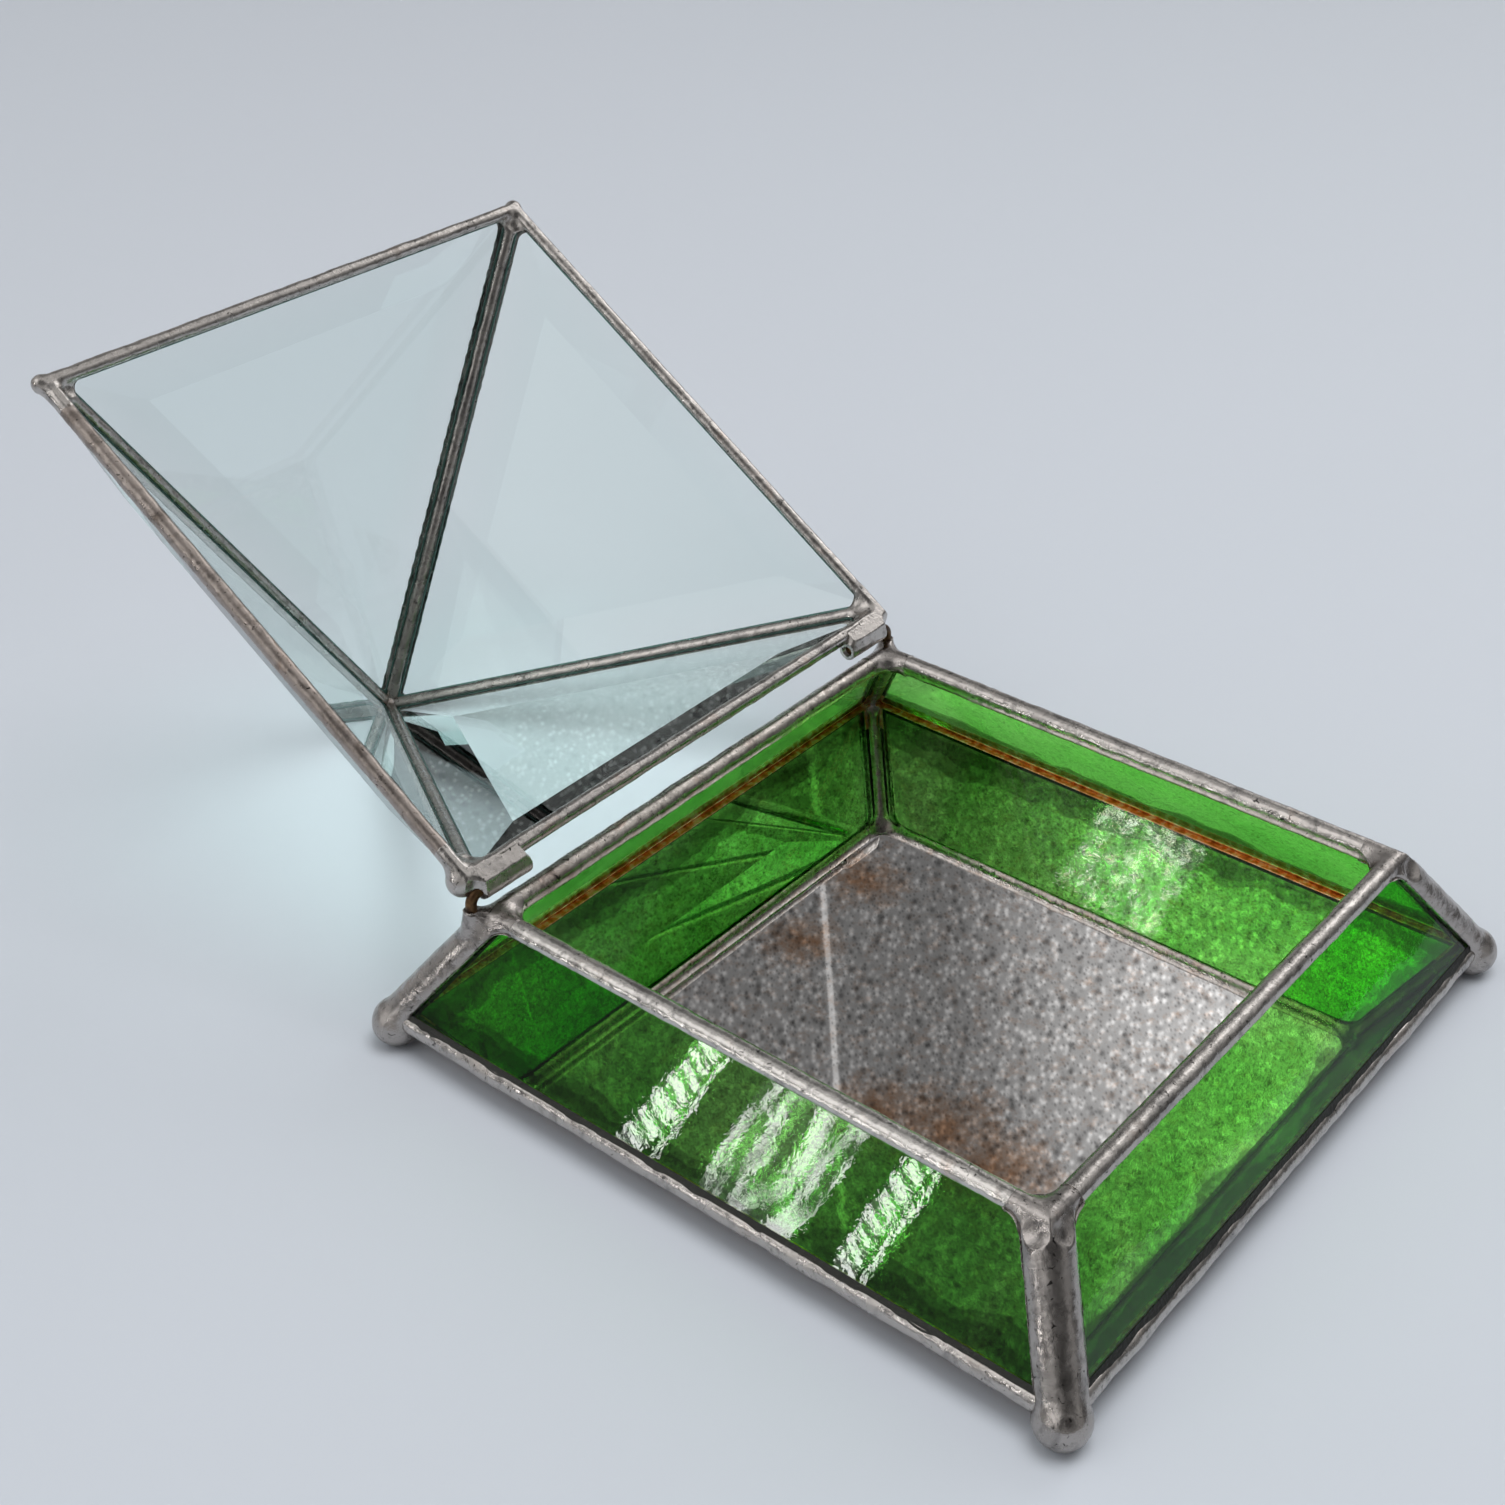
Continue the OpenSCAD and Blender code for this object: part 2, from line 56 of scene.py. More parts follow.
class Finish:
    """A material with one Principled shader, and short ways to add nodes to it."""

    def __init__(self, name, **sockets):
        self.material = bpy.data.materials.new(name)
        self.material.use_nodes = True
        self.nodes = self.material.node_tree.nodes
        self.links = self.material.node_tree.links
        self.shader = self.nodes["Principled BSDF"]
        for socket, value in sockets.items():
            self.shader.inputs[socket.replace("_", " ")].default_value = value
        self.place = self.add("ShaderNodeTexCoord").outputs["Object"]

    def add(self, kind, inputs=None, **settings):
        node = self.nodes.new(kind)
        for name, value in settings.items():
            setattr(node, name, value)
        for name, value in (inputs or {}).items():
            if isinstance(value, bpy.types.NodeSocket):
                self.links.new(value, node.inputs[name])
            else:
                node.inputs[name].default_value = value
        return node

    def link(self, source, target):
        self.links.new(source, target)

    def stretched(self, turn=(0, 0, 0), scale=(1, 1, 1)):
        node = self.add("ShaderNodeMapping", {"Vector": self.place, "Rotation": turn, "Scale": scale})
        return node.outputs["Vector"]

    def drawn_out(self, heading, stretch):
        """Object coordinates for a pattern drawn out along one heading in the floor."""
        turned = self.stretched(turn=(0, 0, -heading))
        node = self.add("ShaderNodeMapping", {"Vector": turned, "Scale": (1 / stretch, 1, 1)})
        return node.outputs["Vector"]

    def counted_from(self, middle):
        """Object coordinates counted from a point."""
        node = self.add("ShaderNodeVectorMath", {0: self.place, 1: tuple(middle)}, operation="SUBTRACT")
        return node.outputs["Vector"]

    def noise(self, scale, detail=3.0, roughness=0.5, vector=None, distortion=0.0):
        return self.add("ShaderNodeTexNoise", {
            "Vector": vector or self.place, "Scale": scale, "Detail": detail,
            "Roughness": roughness, "Distortion": distortion}).outputs["Fac"]

    def cells(self, scale, vector):
        return self.add("ShaderNodeTexVoronoi", {"Vector": vector, "Scale": scale}).outputs["Distance"]

    def ramp(self, value, stops):
        """Colours or greys along a value; each stop is (position, colour)."""
        node = self.add("ShaderNodeValToRGB", {"Fac": value})
        points = node.color_ramp.elements
        while len(points) < len(stops):
            points.new(0.5)
        for point, (position, colour) in zip(points, stops):
            point.position = position
            point.color = (*colour, 1) if isinstance(colour, tuple) else (colour, colour, colour, 1)
        return node.outputs["Color"]

    def mix(self, amount, first, second, how="MIX"):
        node = self.add("ShaderNodeMix", data_type="RGBA", blend_type=how)
        for socket, value in ((node.inputs[0], amount), (node.inputs[6], first), (node.inputs[7], second)):
            if isinstance(value, bpy.types.NodeSocket):
                self.link(value, socket)
            else:
                socket.default_value = (*value, 1) if isinstance(value, tuple) else value
        return node.outputs[2]

    def graded(self, value, span, first, last):
        """Goes from the first to the last amount as the value crosses the span."""
        return self.add("ShaderNodeMapRange", {
            "Value": value, "From Min": span[0], "From Max": span[1],
            "To Min": first, "To Max": last}).outputs[0]

    def scaled(self, value, factor):
        return self.add("ShaderNodeMath", {0: value, 1: factor}, operation="MULTIPLY").outputs[0]

    def colour(self, source):
        self.link(source, self.shader.inputs["Base Color"])

    def rough(self, source):
        self.link(source, self.shader.inputs["Roughness"])

    def bump(self, height, distance, strength=1.0, below=None):
        inputs = {"Height": height, "Distance": distance, "Strength": strength}
        if below is not None:
            inputs["Normal"] = below
        node = self.add("ShaderNodeBump", inputs)
        self.link(node.outputs["Normal"], self.shader.inputs["Normal"])
        return node.outputs["Normal"]


def let_light_through(finish, tint):
    """Glass that stops no light: a shadow ray passes it, tinted."""
    clear = finish.add("ShaderNodeBsdfTransparent", {"Color": (*tint, 1)})
    path = finish.add("ShaderNodeLightPath")
    either = finish.add("ShaderNodeMixShader")
    finish.link(path.outputs["Is Shadow Ray"], either.inputs[0])
    finish.link(finish.shader.outputs[0], either.inputs[1])
    finish.link(clear.outputs[0], either.inputs[2])
    finish.link(either.outputs[0], finish.nodes["Material Output"].inputs["Surface"])


# Painted shade on the hammered glass near its foot: how dark the band is, where it ends below a wavering
# line, and the lighter strip at the very edge, where less shade is painted.
PAINTED_FOOT_SHADE = 0.30
PAINTED_FOOT_SHADE_TOP = (5.0 * MM, 5.4 * MM)
PAINTED_SHADE_AT_FOOT_EDGE = 0.85
PAINTED_SHADE_EDGE_TOP = (7.0 * MM, 8.2 * MM)
PAINTED_SHADE_WAVER = 12 * MM


def green_glass(name, hammered):
    """Rolled green glass; its hammered face is leafy, and darker along a wavering line near its foot:
    painted shade, standing in for the dark seam and foil seen through the glass there.
    """
    glass = Finish(name, Base_Color=(0.11, 0.78, 0.065, 1), Roughness=0.0,
                   IOR=1.5, Transmission_Weight=1.0)
    drift = glass.ramp(glass.noise(26, 4, 0.55, None, 0.8), (
        (0.30, (0.10, 0.60, 0.05)), (0.50, (0.20, 0.86, 0.10)), (0.72, (0.36, 0.97, 0.20))))
    if hammered:
        along = glass.stretched(scale=(1.0, 1.0, 1.5))
        leaves = glass.ramp(glass.noise(560, 3, 0.6, along, 2.4), ((0.36, 0.50), (0.49, 0.94), (0.58, 1.0)))
        height = glass.add("ShaderNodeSeparateXYZ", {"Vector": glass.place}).outputs[2]
        # Painted shade: darker below a wavering line near the foot, with a lighter strip at the very edge.
        # It stands in for the dark seam and foil seen through the glass.
        waver = glass.scaled(glass.noise(48, 3, 0.5), PAINTED_SHADE_WAVER)
        level = glass.add("ShaderNodeMath", {0: height, 1: waver}, operation="SUBTRACT").outputs[0]
        shade = glass.graded(level, PAINTED_FOOT_SHADE_TOP, PAINTED_FOOT_SHADE, 1.0)
        painted_shade_lift_at_edge = glass.graded(height, PAINTED_SHADE_EDGE_TOP, PAINTED_SHADE_AT_FOOT_EDGE, 0.0)
        painted_foot_shade = glass.add("ShaderNodeMath", {0: shade, 1: painted_shade_lift_at_edge}, operation="MAXIMUM").outputs[0]
        glass.colour(glass.mix(1.0, glass.mix(1.0, drift, leaves, "MULTIPLY"), painted_foot_shade, "MULTIPLY"))
        swells = glass.bump(glass.noise(170, 2, 0.5, along, 1.0), 0.000007, 0.5)
        glass.bump(glass.noise(480, 2, 0.5, along, 1.8), 0.0000025, 0.5, swells)
    else:
        glass.colour(drift)
    let_light_through(glass, (0.16, 0.74, 0.12))
    return glass.material


def lid_glass():
    glass = Finish("bevelled_clear_glass", Base_Color=(0.95, 0.985, 0.975, 1), Roughness=0.0,
                   IOR=1.52, Transmission_Weight=1.0)
    body = glass.add("ShaderNodeVolumeAbsorption", {"Color": (0.58, 0.91, 0.84, 1), "Density": 30.0})
    glass.link(body.outputs["Volume"], glass.nodes["Material Output"].inputs["Volume"])
    let_light_through(glass, (0.92, 0.97, 0.96))
    return glass.material


# Each age spot of the mirror: its middle and how far it reaches, in millimetres.
RUST_SPOTS = (
    ((-38, -58), 12),
    ((-35, -70), 16),
    ((-37, -83), 15),
    ((-8, -17), 10),
    ((16, -15), 11),
)
MIRROR_LEVEL = 5.5
RUST_CORE = 0.44


def mirror():
    """Silvered glass with brown age spots, and fine drawn-out flecks in its colour: a painted reflection of
    a pebbled backdrop.
    """
    silver = Finish("aged_mirror", Base_Color=(0.86, 0.86, 0.87, 1), Metallic=1.0, Roughness=0.02)
    # Painted reflection: drawn-out flecks that darken the silvering, standing in for a pebbled backdrop seen
    # in the mirror.
    along = silver.drawn_out(math.radians(41), 1.9)
    painted_reflection_flecks = silver.ramp(silver.cells(1200, along), ((0.10, 0.62), (0.34, 0.90), (0.50, 1.0)))
    ragged = silver.noise(330, 5, 0.75)
    aged = None
    for (across, away), reach in RUST_SPOTS:
        near = silver.add("ShaderNodeVectorMath", {
            0: silver.counted_from((across * MM, away * MM, MIRROR_LEVEL * MM))},
            operation="LENGTH").outputs["Value"]
        amount = silver.graded(near, (0.0, reach * MM), RUST_CORE, 0.0)
        aged = amount if aged is None else silver.add(
            "ShaderNodeMath", {0: aged, 1: amount}, operation="MAXIMUM").outputs[0]
    rust = silver.add("ShaderNodeMath", {0: aged, 1: ragged}, operation="ADD").outputs[0]
    body = silver.ramp(rust, (
        (0.50, (0.94, 0.925, 0.915)), (0.78, (0.82, 0.62, 0.50)), (0.96, (0.74, 0.44, 0.28))))
    silver.colour(silver.mix(1.0, body, painted_reflection_flecks, "MULTIPLY"))
    return silver.material


def solder(name="solder_patina", base=(0.485, 0.455, 0.43), stain=(0.47, 0.39, 0.345),
           dark=(0.31, 0.295, 0.285), shine=(0.16, 0.34)):
    """Hand-run tin and lead, gone pewter grey, with soft stains and fine dark pits."""
    metal = Finish(name, Metallic=1.0, Roughness=0.3)
    clouds = metal.noise(105, 6, 0.62, None, 0.6)
    body = metal.ramp(clouds, ((0.32, dark), (0.45, base), (0.58, base), (0.74, stain)))
    grime = metal.ramp(metal.noise(420, 5, 0.65), ((0.30, 0.55), (0.48, 1.0)))
    pits = metal.ramp(metal.noise(850, 2, 0.5, None, 1.4), ((0.29, 0.15), (0.34, 1.0)))
    metal.colour(metal.mix(1.0, metal.mix(1.0, body, grime, "MULTIPLY"), pits, "MULTIPLY"))
    metal.rough(metal.ramp(metal.noise(240, 4), ((0.35, shine[0]), (0.70, shine[1]))))
    metal.bump(metal.noise(950, 4, 0.6), 0.00012, 0.7)
    return metal.material


def foil(name="copper_foil_laps", tinned=(0.055, 0.055, 0.05)):
    """Bare copper on the laps that the mirror's foil leaves inside the walls, and tinned foil elsewhere."""
    metal = Finish(name, Metallic=1.0, Roughness=0.38)
    # Copper tone that varies at random, with painted glints in its palest spots.
    copper = metal.ramp(metal.noise(520, 4, 0.6), (
        (0.36, (0.60, 0.23, 0.08)), (0.50, (0.96, 0.43, 0.18)), (0.62, (1.0, 0.78, 0.55))))
    low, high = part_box("floor_foil")
    middle = (low + high) / 2
    axes = metal.add("ShaderNodeSeparateXYZ", {"Vector": metal.counted_from(middle)}).outputs
    across = metal.add("ShaderNodeMath", {0: axes[0]}, operation="ABSOLUTE").outputs[0]
    along = metal.add("ShaderNodeMath", {0: axes[1]}, operation="ABSOLUTE").outputs[0]
    out = metal.add("ShaderNodeMath", {0: across, 1: along}, operation="MAXIMUM").outputs[0]
    inside = metal.add("ShaderNodeMath", {0: out, 1: (high - low).x / 2 - 0.2 * MM},
                       operation="LESS_THAN").outputs[0]
    near = metal.add("ShaderNodeMath", {0: axes[2], 1: 6 * MM}, operation="LESS_THAN").outputs[0]
    bare = metal.add("ShaderNodeMath", {0: inside, 1: near}, operation="MULTIPLY").outputs[0]
    metal.colour(metal.mix(bare, tinned, copper))
    metal.bump(metal.noise(1500, 3, 0.6), 0.0003, 0.8)
    return metal.material


def pin_wire():
    wire = Finish("darkened_brass_wire", Metallic=1.0, Roughness=0.38)
    wire.colour(wire.ramp(wire.noise(400, 4), ((0.35, (0.05, 0.03, 0.02)), (0.7, (0.26, 0.15, 0.07)))))
    return wire.material


FINISHES = {
    "green_glass": green_glass("green_glass_smooth", False),
    "bevelled_glass": lid_glass(),
    "mirror_glass": mirror(),
    "solder": solder(),
    "copper_foil": foil(),
    "brass_wire": pin_wire(),
    "tinned_brass": solder("tinned_tube", (0.55, 0.53, 0.50), (0.50, 0.42, 0.36), (0.36, 0.34, 0.33)),
}
HAMMERED_GREEN = green_glass("green_glass_hammered", True)
WARM_SOLDER = solder(
    "solder_warm_patina", (0.52, 0.48, 0.44), (0.52, 0.38, 0.31), (0.34, 0.28, 0.25))
BROWN_SOLDER = solder(
    "solder_browned", (0.38, 0.33, 0.30), (0.28, 0.19, 0.14), (0.17, 0.14, 0.12), (0.26, 0.46))
FRESH_SOLDER = solder(
    "solder_fresh", (0.60, 0.575, 0.545), (0.55, 0.48, 0.43), (0.40, 0.38, 0.365), (0.14, 0.30))
COLUMN_SOLDER = solder(
    "solder_column", (0.41, 0.38, 0.36), (0.40, 0.33, 0.29), (0.25, 0.235, 0.225), (0.18, 0.36))
RIM_FINISH = {"mouth_rim_back": WARM_SOLDER, "mouth_rim_left": FRESH_SOLDER, "lid_rim_left": BROWN_SOLDER}
SEA_GREEN_FOIL = foil("tinned_foil_behind_bevel", (0.15, 0.27, 0.245))

slot_of = {part["node"]: part["material_slot"] for part in frame["record"]["subparts"]}
for name, node in frame["nodes"].items():
    node.data.materials.clear()
    node.data.materials.append(SEA_GREEN_FOIL if name.startswith("lid_foil") else FINISHES[slot_of[name]])


# ---- Solids taken from the frame ----

def solid_of(node_name):
    """The closed mesh of one node, as a bmesh."""
    bm = bmesh.new()
    bm.from_mesh(frame["nodes"][node_name].data)
    bmesh.ops.remove_doubles(bm, verts=bm.verts, dist=1e-7)
    return bm


def keep_beyond(bm, point, direction):
    """Saws a solid square across at a point and keeps what lies beyond it."""
    bmesh.ops.bisect_plane(bm, geom=bm.verts[:] + bm.edges[:] + bm.faces[:], dist=1e-7,
                           plane_co=point, plane_no=direction, clear_inner=True)
    bmesh.ops.holes_fill(bm, edges=[edge for edge in bm.edges if edge.is_boundary], sides=0)
    return bm


def piece_of(name, solids):
    """One new piece from several solids; they may overlap."""
    whole = bmesh.new()
    for bm in solids:
        part = bpy.data.meshes.new("part")
        bm.to_mesh(part)
        bm.free()
        whole.from_mesh(part)
        bpy.data.meshes.remove(part)
    mesh = bpy.data.meshes.new(name)
    whole.to_mesh(mesh)
    whole.free()
    piece = bpy.data.objects.new(name, mesh)
    bpy.context.scene.collection.objects.link(piece)
    return piece


def place(piece, body, nodes, finish=None):
    """Puts a piece on its body, in place of its nodes."""
    piece.data.materials.clear()
    piece.data.materials.append(finish or FINISHES[slot_of[nodes[0]]])
    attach(piece, body)
    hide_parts(*nodes)


# ---- Hand-run solder ----

GRAIN = 0.32 * MM
LAP_SWELL = 0.09 * MM
CALMED_AWAY = 0.06 * MM
SWAYS, WAVES, RIPPLES = 12 * MM, 5.5 * MM, 1.7 * MM
WAVE_HEIGHT, RIPPLE_HEIGHT = 0.24 * MM, 0.11 * MM


def grow(piece, distance):
    step = piece.modifiers.new("grow", "DISPLACE")
    step.strength = distance
    step.mid_level = 0.0


def reskin(piece, size):
    step = piece.modifiers.new("skin", "REMESH")
    step.mode = "VOXEL"
    step.voxel_size = size


def lumps(piece, name, size, height):
    """Moves the surface in and out over soft clouds of one size."""
    clouds = bpy.data.textures.get(name) or bpy.data.textures.new(name, "CLOUDS")
    clouds.noise_scale = size
    clouds.noise_depth = 1
    step = piece.modifiers.new(name, "DISPLACE")
    step.texture = clouds
    step.texture_coords = "LOCAL"
    step.strength = height
    step.mid_level = 0.5


def settle(piece):
    """Makes the modifiers' result the piece's own mesh."""
    shaped = piece.evaluated_get(bpy.context.evaluated_depsgraph_get())
    mesh = bpy.data.meshes.new_from_object(shaped)
    piece.modifiers.clear()
    piece.data = mesh
    mesh.polygons.foreach_set("use_smooth", [True] * len(mesh.polygons))


def bore(piece, point, length, radius):
    """Drills a piece along X, once its solder has run."""
    bm = bmesh.new()
    bmesh.ops.create_cone(bm, cap_ends=True, segments=48, radius1=radius, radius2=radius, depth=length,
                          matrix=Matrix.Translation(point) @ Matrix.Rotation(math.radians(90), 4, "Y"))
    drill = piece_of("drill", [bm])
    cut = piece.modifiers.new("bore", "BOOLEAN")
    cut.operation, cut.solver, cut.object = "DIFFERENCE", "EXACT", drill
    settle(piece)
    mesh = drill.data
    bpy.data.objects.remove(drill)
    bpy.data.meshes.remove(mesh)


def run_solder(piece, flow=0.0, sway=0.0):
    """Turns plain bars into hand-run solder.

    flow is how far it fills the inner corners, and sway how high its long swells stand.
    """
    grow(piece, LAP_SWELL + (CALMED_AWAY if flow else 0))
    reskin(piece, GRAIN)
    if flow:
        grow(piece, flow)
        reskin(piece, GRAIN)
        grow(piece, -flow)
    calm = piece.modifiers.new("calm", "SMOOTH")
    calm.factor = 0.5
    calm.iterations = 14 if flow else 3
    if sway:
        lumps(piece, "sways", SWAYS, sway)
    lumps(piece, "waves", WAVES, WAVE_HEIGHT)
    lumps(piece, "ripples", RIPPLES, RIPPLE_HEIGHT)
    settle(piece)


RIGHT, AWAY, UP = Vector((1, 0, 0)), Vector((0, 1, 0)), Vector((0, 0, 1))
hinge = frame["record"]["behaviour"]["joints"][0]
open_turn = Matrix.Rotation(math.radians(-hinge["range_deg"][1]), 3, "X")
lid_away = open_turn @ AWAY
SIGN = {"left": -1, "right": 1, "front": -1, "back": 1}
BORE = 1.16 * MM
BORE_PAST_TUBE = 3 * MM
STUB = 9 * MM
LAP = 1 * MM
CORNER_INSET = 2 * MM
COLUMN_FOOT, COLUMN_TOP = (72.86 * MM, 7.26 * MM), (59.20 * MM, 27.89 * MM)
COLUMN_FULLNESS = 1.11
BASE_FLOW, FRONT_RIDGE_FLOW, BACK_RIDGE_FLOW = 2.8 * MM, 1.2 * MM, 1.6 * MM


def level_underside(piece):
    """Presses the lid's solder flat underneath, so that the shut lid clears the mouth."""
    lid_up = open_turn @ UP
    level = min(vert.co.dot(lid_up) for vert in frame["nodes"]["lid_rim_front"].data.vertices)
    for vert in piece.data.vertices:
        vert.co += lid_up * max(0.0, level - vert.co.dot(lid_up))


def bead(place_of_bead, radius):
    """A round drop of solder."""
    bm = bmesh.new()
    bmesh.ops.create_icosphere(bm, subdivisions=3, radius=radius, matrix=Matrix.Translation(place_of_bead))
    return bm


def middle_of(*nodes):
    corners = [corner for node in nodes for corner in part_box(node)]
    return Vector([(min(c[i] for c in corners) + max(c[i] for c in corners)) / 2 for i in range(3)])


def frame_of_solder(rim, half, away, body, extras):
    """Makes four rims, and yields four corners: the rim ends, the seam and what else meets there."""
    middle = middle_of(*(rim + side for side in SIDES))
    reach = half - STUB
    for side in SIDES:
        along = RIGHT if side in ("front", "back") else away
        middle_run = solid_of(rim + side)
        for way in (along, -along):
            keep_beyond(middle_run, middle - way * (reach + LAP), way)
        piece = piece_of(rim + side + "_run", [middle_run])
        run_solder(piece)
        if body == "lid":
            level_underside(piece)
        place(piece, body, [rim + side], RIM_FINISH.get(rim + side))
    for corner in CORNERS:
        end, hand = corner.split("_")
        solids = [keep_beyond(solid_of(rim + end), middle + RIGHT * SIGN[hand] * reach, RIGHT * SIGN[hand]),
                  keep_beyond(solid_of(rim + hand), middle + away * SIGN[end] * reach, away * SIGN[end])]
        nodes, flow, beads = extras(corner)
        for node in nodes:
            solids.append(fuller_column(corner) if node.startswith("corner_seam") else solid_of(node))
        for outwards, lift, radius in beads:
            spread = half - CORNER_INSET + outwards
            spot = middle + (RIGHT * SIGN[hand] + away * SIGN[end]) * spread + open_turn @ UP * lift
            solids.append(bead(spot, radius))
        yield corner, solids, nodes, flow


def fuller_column(corner):
    """The seam down a corner of the base, run thicker on its outer side."""
    end, hand = corner.split("_")
    out = RIGHT * SIGN[hand] + AWAY * SIGN[end]
    foot, top = (room_middle + out * spread + UP * (level - room_middle.z) for spread, level in (
        COLUMN_FOOT, COLUMN_TOP))
    rise = (top - foot).normalized()
    facing = (out - rise * out.dot(rise)).normalized()
    bm = solid_of("corner_seam_" + corner)
    for vert in bm.verts:
        axis = foot + rise * (vert.co - foot).dot(rise)
        if (vert.co - axis).dot(facing) > 0:
            vert.co = axis + (vert.co - axis) * COLUMN_FULLNESS
    return bm


def base_extras(corner):
    """The nodes that run together at a corner of the base, its flow, and no beads."""
    end, hand = corner.split("_")
    nodes = ["corner_seam_" + corner, "ball_foot_" + corner]
    return nodes + (["pin_solder_" + hand] if end == "back" else []), BASE_FLOW, ()


def lid_extras(corner):
    """The same at a corner of the lid, with one bead: how far out, how far up, and its radius."""
    end, hand = corner.split("_")
    if end == "front":
        return ["ridge_seam_" + corner], FRONT_RIDGE_FLOW, ((0.9 * MM, 0.4 * MM, 1.9 * MM),)
    nodes = ["ridge_seam_" + corner, "hinge_solder_" + hand, "hinge_tube_" + hand]
    return nodes, BACK_RIDGE_FLOW, ((0.0, 1.8 * MM, 3.1 * MM),)


room_middle = middle_of("mouth_rim_front", "mouth_rim_back")
base_half = (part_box("mouth_rim_front")[1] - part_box("mouth_rim_front")[0]).x / 2
lid_half = (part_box("lid_rim_front")[1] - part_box("lid_rim_front")[0]).x / 2
base_corners = frame_of_solder("mouth_rim_", base_half, AWAY, "base", base_extras)
for corner, solids, nodes, flow in base_corners:
    piece = piece_of("corner_run_" + corner, solids)
    run_solder(piece, flow)
    place(piece, "base", nodes, COLUMN_SOLDER)
lid_corners = frame_of_solder("lid_rim_", lid_half, lid_away, "lid", lid_extras)
for corner, solids, nodes, flow in lid_corners:
    piece = piece_of("ridge_run_" + corner, solids)
    run_solder(piece, flow)
    level_underside(piece)
    for node in nodes:
        if node.startswith("hinge_tube"):
            low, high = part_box(node)
            middle = Vector(((low.x + high.x) / 2, *hinge["pos_m"][1:]))
            bore(piece, middle, high.x - low.x + BORE_PAST_TUBE, BORE)
    place(piece, "lid", nodes)

FOOT_LEVEL = 7.0 * MM
FOOT_DRAWN_IN, FOOT_HEIGHT = 0.15, 0.68
FOOT_SWAY = 0.6 * MM


def slimmer_foot(side):
    """The bead along the foot of a wall, drawn in towards the wall's lower edge."""
    bm = solid_of("floor_seam_" + side)
    out = (AWAY if side in ("front", "back") else RIGHT) * SIGN[side]
    low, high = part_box("wall_glass_" + side)
    edge = max(abs(low.dot(out) - room_middle.dot(out)), abs(high.dot(out) - room_middle.dot(out)))
    for vert in bm.verts:
        beyond = (vert.co - room_middle).dot(out) - edge
        vert.co -= out * beyond * FOOT_DRAWN_IN
        vert.co.z = FOOT_LEVEL + (vert.co.z - FOOT_LEVEL) * FOOT_HEIGHT
    return bm


for side in SIDES:
    piece = piece_of("floor_run_" + side, [slimmer_foot(side)])
    run_solder(piece, sway=FOOT_SWAY)
    place(piece, "base", ["floor_seam_" + side])
piece = piece_of("apex_run", [solid_of("apex_solder")])
run_solder(piece)
place(piece, "lid", ["apex_solder"])


# ---- Hammered wall glass and its foil ----

WALL_TILT = math.radians(33.5)
CELL = 1.6 * MM
FIRST_CUT, SPARE_CELL = 0.37, 0.5
LAP_FROM, LAP_TO, LAP_CUT = 1.0 * MM, 2.6 * MM, 0.8 * MM
SWELL_DEPTH, SWELL_SIZE = 0.022, 17
HAMMER_DEPTH, HAMMER_SIZE = 0.0015, 5.5


def wall_axes(side):
    """Out of the wall, up its slope, and along it."""
    out = {"front": -AWAY, "back": AWAY, "left": -RIGHT, "right": RIGHT}[side]
    facing = out * math.cos(WALL_TILT) + UP * math.sin(WALL_TILT)
    rise = UP * math.cos(WALL_TILT) - out * math.sin(WALL_TILT)
    return facing, rise, facing.cross(rise)


def trimmed_foil(side):
    """The wall's foil, with the lap inside the foot cut narrow."""
    facing, rise, _ = wall_axes(side)
    bm = solid_of("wall_foil_" + side)
    foot = min(vert.co.dot(rise) for vert in bm.verts)
    levels = [vert.co.dot(facing) for vert in bm.verts]
    inner = min(levels) + (max(levels) - min(levels)) / 3
    for vert in bm.verts:
        if vert.co.dot(facing) < inner and LAP_FROM < vert.co.dot(rise) - foot < LAP_TO:
            vert.co -= rise * LAP_CUT
    place(piece_of("trimmed_foil_" + side, [bm]), "base", ["wall_foil_" + side])


def hammered_wall(side):
    """The wall's pane, with the slow swells of rolled glass in its outer face."""
    facing, rise, along = wall_axes(side)
    bm = solid_of("wall_glass_" + side)
    for way in (along, rise):
        reaches = [vert.co.dot(way) for vert in bm.verts]
        count = round((max(reaches) - min(reaches)) / CELL)
        for step in range(1, count):
            share = (step + FIRST_CUT) / (count + SPARE_CELL)
            at = min(reaches) + (max(reaches) - min(reaches)) * share
            bmesh.ops.bisect_plane(bm, geom=bm.verts[:] + bm.edges[:] + bm.faces[:], dist=1e-7,
                                   plane_co=way * at, plane_no=way)
    face_level = max(vert.co.dot(facing) for vert in bm.verts)
    outer = {vert for vert in bm.verts if vert.co.dot(facing) > face_level - 0.02 * MM}
    for face in bm.faces:
        face.smooth = all(vert in outer for vert in face.verts)
        face.material_index = 0 if face.smooth else 1
    for vert in outer:
        spot = vert.co / MM
        swell = SWELL_DEPTH * (1 + noise.noise(spot / SWELL_SIZE))
        mark = HAMMER_DEPTH * (1 + noise.noise(spot / HAMMER_SIZE))
        vert.co -= facing * (swell + mark) * MM
    piece = piece_of("hammered_wall_" + side, [bm])
    place(piece, "base", ["wall_glass_" + side], HAMMERED_GREEN)
    piece.data.materials.append(FINISHES["green_glass"])


for side in SIDES:
    trimmed_foil(side)
    hammered_wall(side)


# ---- Table, light and camera ----

TABLE_HALF = 6.0


